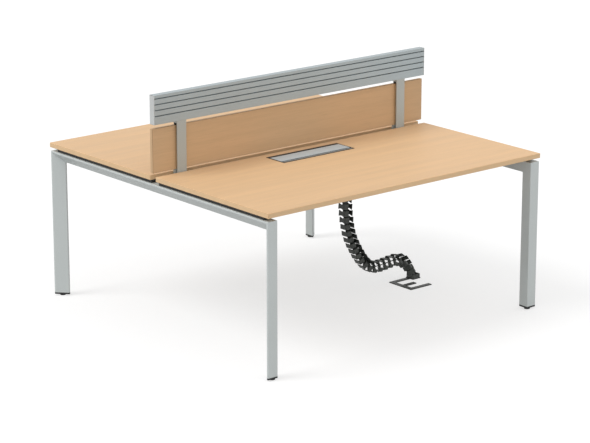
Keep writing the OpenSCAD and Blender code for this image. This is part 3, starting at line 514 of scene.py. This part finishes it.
# Cable spine: links that follow the headings from joint to joint
# Lengths are in metres and turns in degrees, the headings from straight down
spineSet = {
    "start": (0.243, -0.086), "footJoint": 0.018, "pitch": 0.033, "twistLinks": 5, "twistStep": 12,
    "headings": (0, 1, 2, 3, 5, 8, 10, 14, 20, 26, 30, 32, 36, 42, 53, 71, 87, 95, 97, 95,
                 80, 62, 46, 38, 36),
    "kinds": {
        "spine_links_upper": {"from": 0, "to": 7, "height": 0.027, "middle": 0.019, "lip": 0.029},
        "spine_links_bend": {"from": 7, "to": 16, "height": 0.023, "middle": 0.023, "lip": 0.029},
        "spine_links_arch": {"from": 16, "to": 25, "height": 0.023, "middle": 0.023, "lip": 0.017},
    },
    "width": 0.054, "depth": 0.041, "wall": 0.0035, "corner": 0.005, "mitre": 22.5, "lean": 12,
    "web": 0.004, "webDrop": 0.0005, "bore": 0.015, "ease": 0.0007, "easeSteps": 2,
    "sharp": 0.6,  # radians from which an edge is eased
    "socket": 0.016, "socketDown": 0.0075, "socketUp": 0.0025, "footEdge": 0.001, "lipEdge": 0.0006,
    "cupAngles": range(30, -90, -20),  # above the level of the hollow's centre
    "ball": 0.010, "neck": 0.0045, "neckFlare": 0.0012, "neckRise": 0.0005,
    "ballAngles": range(0, 153, 15),  # up from the foot of the ball
}


def cutNotches(shape, verts, face, reach, notch):
    # the plate's upper and lower edges slope in towards the middle of its depth
    for at in (-reach, 0, reach):
        near = dict.fromkeys(part for v in verts for part in (*v.link_faces, *v.link_edges))
        cut = bmesh.ops.bisect_plane(shape, geom=[*near, *verts], plane_co=(0, at, 0), plane_no=(0, 1, 0))
        verts += [v for v in cut["geom_cut"] if isinstance(v, bmesh.types.BMVert)]
    for v in verts:
        if abs(v.co.y) < sameCorner and v.co.x > face - sameLevel:
            v.co.z -= math.copysign(notch, v.co.z)
    return verts


def addPlates(shape, given, kind):
    # a side plate with its lip, and half of the slanting web; turned round, they come again and close the S
    x, y, wall, corner = given["width"] / 2, given["depth"] / 2, given["wall"], given["corner"]
    inner = corner + wall * math.tan(math.radians(given["mitre"]))
    half, notch = kind["height"] / 2, (kind["height"] - kind["middle"]) / 2
    outline = [(x - wall, -y), (x - wall / 2, -y), (x, -y + wall / 2),
               (x, y - corner), (x - corner, y), (x - kind["lip"], y),
               (x - kind["lip"], y - wall), (x - inner, y - wall), (x - wall, y - inner)]
    near, w, h = given["bore"] / 2, given["web"] / 2, half - given["webDrop"]
    cornerX, cornerY = x - corner / 2, y - corner / 2  # the middle of the corner, which the web meets
    far = math.hypot(cornerX, cornerY) - wall / 2
    for turn in (0, 180):
        verts = prism(shape, outline, -half, half)
        if notch > 0:
            verts = cutNotches(shape, verts, x - wall, y - corner, notch)
        web = prism(shape, [(near, -w), (far, -w), (far, w), (near, w)], -h, h)
        turned(shape, web, math.degrees(math.atan2(cornerY, cornerX)), "Z")
        turned(shape, verts + web, turn, "Z")
        turned(shape, verts + web, given["lean"], "Y")


def addSocketAndBall(shape, given):
    # the cup round this joint, and the ball that hangs in the next link's cup
    outer, ball, neck = given["socket"] / 2, given["ball"] / 2, given["neck"] / 2
    floor, rim, tip = -given["socketDown"], given["socketUp"], -given["pitch"]
    cup = [(0, floor), (outer - given["footEdge"], floor), (outer, floor + given["footEdge"]),
           (outer, rim - given["lipEdge"]), (outer - given["lipEdge"], rim)]
    angles = [math.radians(d) for d in given["cupAngles"]]
    lathe(shape, cup + [(ball * math.cos(a), ball * math.sin(a)) for a in angles] + [(0, -ball)])
    angles = [math.radians(d) for d in given["ballAngles"]]
    hung = [(ball * math.sin(a), tip - ball * math.cos(a)) for a in angles] + [(neck, tip + ball)]
    lathe(shape, hung + [(neck, floor - given["neckFlare"]), (neck + given["neckFlare"], floor),
                         (0, floor + given["neckRise"])])


def linkMesh(name, given, kind):
    # one S-shaped link round its joint, its ball one pitch below
    shape = bmesh.new()
    addPlates(shape, given, kind)
    sharp = [e for e in shape.edges if e.calc_face_angle(0) > given["sharp"]]
    bmesh.ops.bevel(shape, geom=sharp, offset=given["ease"], segments=given["easeSteps"], affect="EDGES",
                    clamp_overlap=True)
    addSocketAndBall(shape, given)
    bmesh.ops.recalc_face_normals(shape, faces=shape.faces)
    return finishedMesh(shape, name)


def chainTree():
    # the steps so far give a link's place; its own heading and twist turn it
    tree = Tree("chain", {"Pitch": "Float", "Start": "Vector", "Skipped": "Int"})
    pitch, heading = tree.given["Pitch"], tree.fact("heading")
    out = tree.sum("MULTIPLY", tree.sum("SINE", heading), pitch)
    down = tree.sum("MULTIPLY", tree.sum("MULTIPLY", tree.sum("COSINE", heading), pitch), -1.0)
    step = tree.put("ShaderNodeCombineXYZ", None, {"X": out, "Z": down})
    way = tree.put("GeometryNodeAccumulateField", {"data_type": "FLOAT_VECTOR"}, {"Value": step},
                   out="Trailing")
    place = tree.put("ShaderNodeVectorMath", {"operation": "ADD"},
                     {"Vector": way, "Vector_001": tree.given["Start"]})
    points = tree.put("GeometryNodeSetPosition", None,
                      {"Geometry": tree.given["Geometry"], "Position": place})
    early = tree.put("FunctionNodeCompare", {"data_type": "INT", "operation": "LESS_THAN"},
                     {"A_INT": tree.put("GeometryNodeInputIndex"), "B_INT": tree.given["Skipped"]})
    points = tree.put("GeometryNodeDeleteGeometry", {"domain": "POINT"},
                      {"Geometry": points, "Selection": early})
    bend = tree.spun((0, 1, 0), tree.sum("MULTIPLY", heading, -1.0))
    roll = tree.spun((0, 0, 1), tree.fact("twist"))
    turn = tree.put("FunctionNodeRotateRotation", {"rotation_space": "LOCAL"},
                    {"Rotation": bend, "Rotate By": roll})
    tree.close(points, turn)
    return tree


def makeSpine(given):
    tree = chainTree()
    headings = [math.radians(heading) for heading in given["headings"]]
    straight = len(headings) - given["twistLinks"]
    twists = [math.radians(given["twistStep"] * max(0, i + 1 - straight)) for i in range(len(headings))]
    top = given["footJoint"] + sum(given["pitch"] * math.cos(heading) for heading in headings)
    for node, kind in given["kinds"].items():
        count = kind["to"]
        points = pointMesh("joints_" + node, [(0, 0, 0)] * count,
                           {"heading": headings[:count], "twist": twists[:count]})
        values = {"Pitch": given["pitch"], "Start": (*given["start"], top), "Skipped": kind["from"]}
        mesh = tree.grow(points, linkMesh("model_" + node, given, kind), paints["spine"], values)
        standFor("chain_" + node, mesh, node, paints["spine"])


makeSpine(spineSet)
print("spine made of", len(spineSet["headings"]), "links")


# Screws: the socket's width as a share of the head, its depth, and the turned edges, in metres
screwSet = {
    "socket": 0.42, "depth": 0.0018, "chamfer": 0.0004, "dome": 0.0008, "domeShare": 0.3,
    "crown": 0.0007, "sides": 6,
    "fine": 5, "coarse": 4,  # decimal places to which screws are measured, and compared
    "nodes": ("top_screws", "long_beam_bolts", "cross_member_bolts", "tray_screws", "upright_screws",
              "panel_screws", "bracket_screws", "box_screws", "spine_screws"),
}


def looseParts(node):
    # the corners of each separate solid of a node
    shape = mergedShape(node)
    seen, parts = set(), []
    for first in shape.verts:
        if first in seen:
            continue
        seen.add(first)
        stack, part = [first], []
        while stack:
            vert = stack.pop()
            part.append(vert.co.copy())
            near = [edge.other_vert(vert) for edge in vert.link_edges if edge.other_vert(vert) not in seen]
            seen.update(near)
            stack += near
        parts.append(part)
    shape.free()
    return parts


def readScrew(part, given):
    # tip, direction to the head, whether the head is six-sided, and the radii at each level of one screw
    low = Vector([min(co[k] for co in part) for k in range(3)])
    high = Vector([max(co[k] for co in part) for k in range(3)])
    size, middle = high - low, (low + high) / 2
    axis = min(range(3), key=lambda k: abs(size[(k + 1) % 3] - size[(k + 2) % 3]))
    radii = {}
    for co in part:
        out = co - middle
        out[axis] = 0
        height = round(co[axis] - low[axis], given["fine"])
        radii.setdefault(height, set()).add(round(out.length, given["fine"]))
    heights = sorted(radii)
    headUp = max(radii[heights[-1]]) >= max(radii[heights[0]])
    if not headUp:
        heights.reverse()
    tip, facing = middle.copy(), Vector((0, 0, 0))
    tip[axis] = low[axis] if headUp else high[axis]
    facing[axis] = 1 if headUp else -1
    end = [co for co in part if abs(co[axis] - low[axis] - heights[-1]) < sameLevel]
    corners = {tuple(round(value, given["fine"]) for value in co) for co in end}
    levels = [(round(abs(t - heights[0]), given["fine"]), sorted(radii[t])) for t in heights]
    return tip, facing, len(corners) == given["sides"], levels


def rounded(levels, digits):
    # screws of one size have the same rounded levels
    return tuple((round(t, digits), tuple(round(r, digits) for r in radii)) for t, radii in levels)


def screwMesh(name, sixSided, levels, given):
    # turned from its own levels, with a six-sided head or a six-sided socket in a round one
    chamfer, dome, sides = given["chamfer"], given["dome"], given["sides"]
    radius, length = max(levels[0][1]), levels[-1][0]
    profile = [(0, 0), (radius - chamfer, 0), (radius, chamfer)]
    for height, radii in levels[1:-1]:
        profile.append((radius, height))
        others = [r for r in radii if abs(r - radius) > sameLevel]
        if others:
            radius = others[0]
            profile.append((radius, height))
    if sixSided:
        flat = radius * math.cos(math.pi / sides)
        profile[-1] = (flat, profile[-1][1], sides)
        profile += [(flat, length - given["crown"], sides), (flat - chamfer, length), (0, length)]
    else:
        socket, floor = radius * given["socket"], length - min(given["depth"], length - chamfer)
        turnIn = given["domeShare"] * dome
        profile += [(radius, length - dome), (radius - turnIn, length - turnIn), (radius - dome, length),
                    (socket, length, sides), (socket, floor, sides), (0, floor)]
    shape = bmesh.new()
    lathe(shape, profile)
    bmesh.ops.recalc_face_normals(shape, faces=shape.faces)
    return finishedMesh(shape, name)


def screwTree():
    # a screw stands on each point, its head where the point faces
    tree = Tree("screws", {})
    points = tree.put("GeometryNodeMeshToPoints", None, {"Mesh": tree.given["Geometry"]})
    turn = tree.put("FunctionNodeAlignRotationToVector", {"axis": "Z"},
                    {"Vector": tree.fact("facing", "FLOAT_VECTOR")})
    tree.close(points, turn)
    return tree


def makeScrews(given):
    tree = screwTree()
    for node in given["nodes"]:
        kinds = {}
        for part in looseParts(node):
            tip, facing, sixSided, levels = readScrew(part, given)
            kinds.setdefault((sixSided, rounded(levels, given["coarse"])), []).append((tip, facing))
        whole = bmesh.new()
        for (sixSided, levels), screws in kinds.items():
            tips, facings = zip(*screws)
            points = pointMesh("places_" + node, tips, {"facing": facings})
            model = screwMesh("model_" + node, sixSided, levels, given)
            whole.from_mesh(tree.grow(points, model, paints["steel"], {}))
        standFor("turned_" + node, finishedMesh(whole, "turned_" + node), node, paints["steel"])


makeScrews(screwSet)
print("screws made for", len(screwSet["nodes"]), "nodes")


# Floor, room and lamp; the room is brightest overhead on the near side, and darkest below on the far side
stageSet = {
    "size": 80, "floor": 0.40, "lift": 0.64, "skyFrom": (-0.12, -0.64, 0.76), "skySpan": (-0.5, 1.0),
    "skyLow": 0.30, "skyHigh": 0.93, "sun": 1.3, "sunSpread": 28, "sunFrom": (-0.58, 0.22, 0.78),
}


def seenRay(p):
    # 1 for rays from the eye, and for what gloss and glass show of the room
    kinds = ("Is Camera Ray", "Is Glossy Ray", "Is Transmission Ray")
    camera, gloss, glass = [p.put("ShaderNodeLightPath", out=kind) for kind in kinds]
    return camera.orMore(gloss).orMore(glass)


def makeFloor(given):
    half = given["size"] / 2
    corners = [(-half, -half, 0), (half, -half, 0), (half, half, 0), (-half, half, 0)]
    mesh = bpy.data.meshes.new("floor")
    mesh.from_pydata(corners, [], [(0, 1, 2, 3)])
    floor = bpy.data.objects.new("floor", mesh)
    scene.collection.objects.link(floor)
    p = newPaint("floor")
    shade = p.put("ShaderNodeBsdfDiffuse", None, {"Color": (given["floor"],) * 3 + (1.0,)})
    strength = seenRay(p) * given["lift"]
    glow = p.put("ShaderNodeEmission", None, {"Color": white, "Strength": strength})
    both = p.put("ShaderNodeAddShader", None, {"Shader": shade, "Shader_001": glow})
    p.put("ShaderNodeOutputMaterial", None, {"Surface": both})
    mesh.materials.append(p.owner)


def makeRoom(given):
    scene.world = bpy.data.worlds.new("room")
    p = Paint(scene.world, "Generated")
    facing = p.put("ShaderNodeVectorMath", {"operation": "DOT_PRODUCT"},
                   {"Vector": p.places, "Vector_001": given["skyFrom"]}, out="Value")
    room = p.span(facing, *given["skySpan"], given["skyLow"], given["skyHigh"])
    strength = room + seenRay(p) * (1 - room)
    sky = p.put("ShaderNodeBackground", None, {"Color": white, "Strength": strength})
    p.put("ShaderNodeOutputWorld", None, {"Surface": sky})


def makeSun(given):
    data = bpy.data.lights.new("sun", "SUN")
    data.energy, data.angle = given["sun"], math.radians(given["sunSpread"])
    sun = bpy.data.objects.new("sun", data)
    sun.rotation_euler = Vector(given["sunFrom"]).to_track_quat("Z", "Y").to_euler()
    scene.collection.objects.link(sun)


makeFloor(stageSet)
makeRoom(stageSet)
makeSun(stageSet)
print("stage set")
